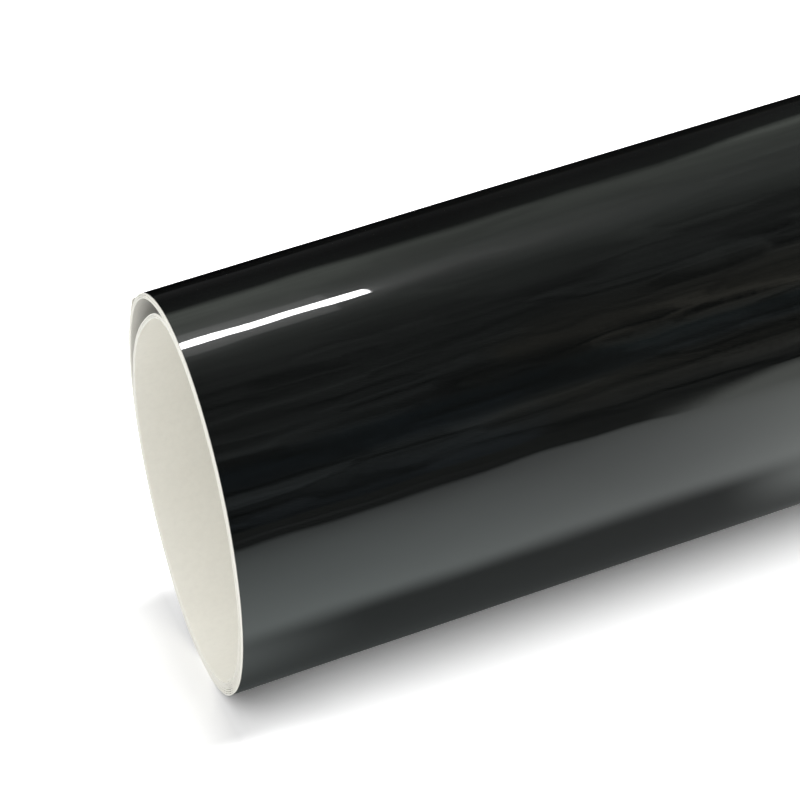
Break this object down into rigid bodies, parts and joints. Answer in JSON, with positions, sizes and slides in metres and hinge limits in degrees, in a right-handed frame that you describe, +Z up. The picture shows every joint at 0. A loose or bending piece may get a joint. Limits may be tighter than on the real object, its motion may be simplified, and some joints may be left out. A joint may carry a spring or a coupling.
{
  "type": "sign vinyl roll",
  "caption": "Coreless roll of gloss black self-adhesive sign vinyl wound face out on a pale release liner, with a nested loose inner coil and a peelable taped tail.",
  "frame": {"origin": "centre of the roll's bottom, where it touches the table when it lies on its side", "axes": "+X along the roll, from the open end the picture shows at -X to the other end; +Y to the back, where the taped tail is; +Z up"},
  "size_m": [0.305, 0.0756, 0.0755],
  "materials": {
    "black_film": "high gloss black, smooth, faint flow waviness",
    "adhesive": "thin clear to milky pressure-sensitive adhesive, slightly tacky sheen",
    "release_liner": "coated white kraft release paper, satin",
    "clear_tape": "clear adhesive tape, slightly cloudy"
  },
  "bodies": {
    "outer_coil": {"outer_coil_film": "black_film", "outer_coil_adhesive": "adhesive", "outer_coil_liner": "release_liner"},
    "inner_coil": {"inner_coil_film": "black_film", "inner_coil_adhesive": "adhesive", "inner_coil_liner": "release_liner"},
    "tail_strip_1": {"tail_strip_1_film": "black_film", "tail_strip_1_adhesive": "adhesive", "tail_strip_1_liner": "release_liner"},
    "tail_strip_2": {"tail_strip_2_film": "black_film", "tail_strip_2_adhesive": "adhesive", "tail_strip_2_liner": "release_liner"},
    "tail_strip_3": {"tail_strip_3_film": "black_film", "tail_strip_3_adhesive": "adhesive", "tail_strip_3_liner": "release_liner"},
    "tail_strip_4": {"tail_strip_4_film": "black_film", "tail_strip_4_adhesive": "adhesive", "tail_strip_4_liner": "release_liner"},
    "tail_strip_5": {"tail_strip_5_film": "black_film", "tail_strip_5_adhesive": "adhesive", "tail_strip_5_liner": "release_liner"},
    "peel_flap": {"peel_flap_film": "black_film", "peel_flap_adhesive": "adhesive", "tape_tab_near": "clear_tape", "tape_tab_far": "clear_tape"},
    "lead_strip_1": {"lead_strip_1_film": "black_film", "lead_strip_1_adhesive": "adhesive", "lead_strip_1_liner": "release_liner"},
    "lead_strip_2": {"lead_strip_2_film": "black_film", "lead_strip_2_adhesive": "adhesive", "lead_strip_2_liner": "release_liner"}
  },
  "joints": [
    {"name": "telescope_slide", "type": "slide", "parent": "outer_coil", "child": "inner_coil", "axis": [1, 0, 0], "range_m": [-0.03, 0.03]},
    {"name": "tail_fold_1", "type": "hinge", "parent": "outer_coil", "child": "tail_strip_1", "pos_m": [0, 0.02378, 0.00836], "axis": [-1, 0, 0], "range_deg": [0, 18]},
    {"name": "tail_fold_2", "type": "hinge", "parent": "tail_strip_1", "child": "tail_strip_2", "pos_m": [0, 0.03173, 0.01717], "axis": [-1, 0, 0], "range_deg": [0, 18]},
    {"name": "tail_fold_3", "type": "hinge", "parent": "tail_strip_2", "child": "tail_strip_3", "pos_m": [0, 0.03657, 0.02801], "axis": [-1, 0, 0], "range_deg": [0, 18]},
    {"name": "tail_fold_4", "type": "hinge", "parent": "tail_strip_3", "child": "tail_strip_4", "pos_m": [0, 0.03783, 0.03981], "axis": [-1, 0, 0], "range_deg": [0, 18]},
    {"name": "tail_fold_5", "type": "hinge", "parent": "tail_strip_4", "child": "tail_strip_5", "pos_m": [0, 0.03537, 0.05144], "axis": [-1, 0, 0], "range_deg": [0, 18]},
    {"name": "film_peel", "type": "hinge", "parent": "tail_strip_5", "child": "peel_flap", "pos_m": [0, 0.03376, 0.05507], "axis": [-1, 0, 0], "range_deg": [0, 100]},
    {"name": "lead_fold_1", "type": "hinge", "parent": "inner_coil", "child": "lead_strip_1", "pos_m": [0, -0.01946, 0.00799], "axis": [-1, 0, 0], "range_deg": [0, 25]},
    {"name": "lead_fold_2", "type": "hinge", "parent": "lead_strip_1", "child": "lead_strip_2", "pos_m": [0, -0.02772, 0.01545], "axis": [-1, 0, 0], "range_deg": [0, 25]}
  ],
  "couplings": [
    {"joint": "tail_fold_2", "follows": "tail_fold_1", "ratio": 1},
    {"joint": "tail_fold_3", "follows": "tail_fold_1", "ratio": 1},
    {"joint": "tail_fold_4", "follows": "tail_fold_1", "ratio": 1},
    {"joint": "tail_fold_5", "follows": "tail_fold_1", "ratio": 1},
    {"joint": "lead_fold_2", "follows": "lead_fold_1", "ratio": 1}
  ]
}
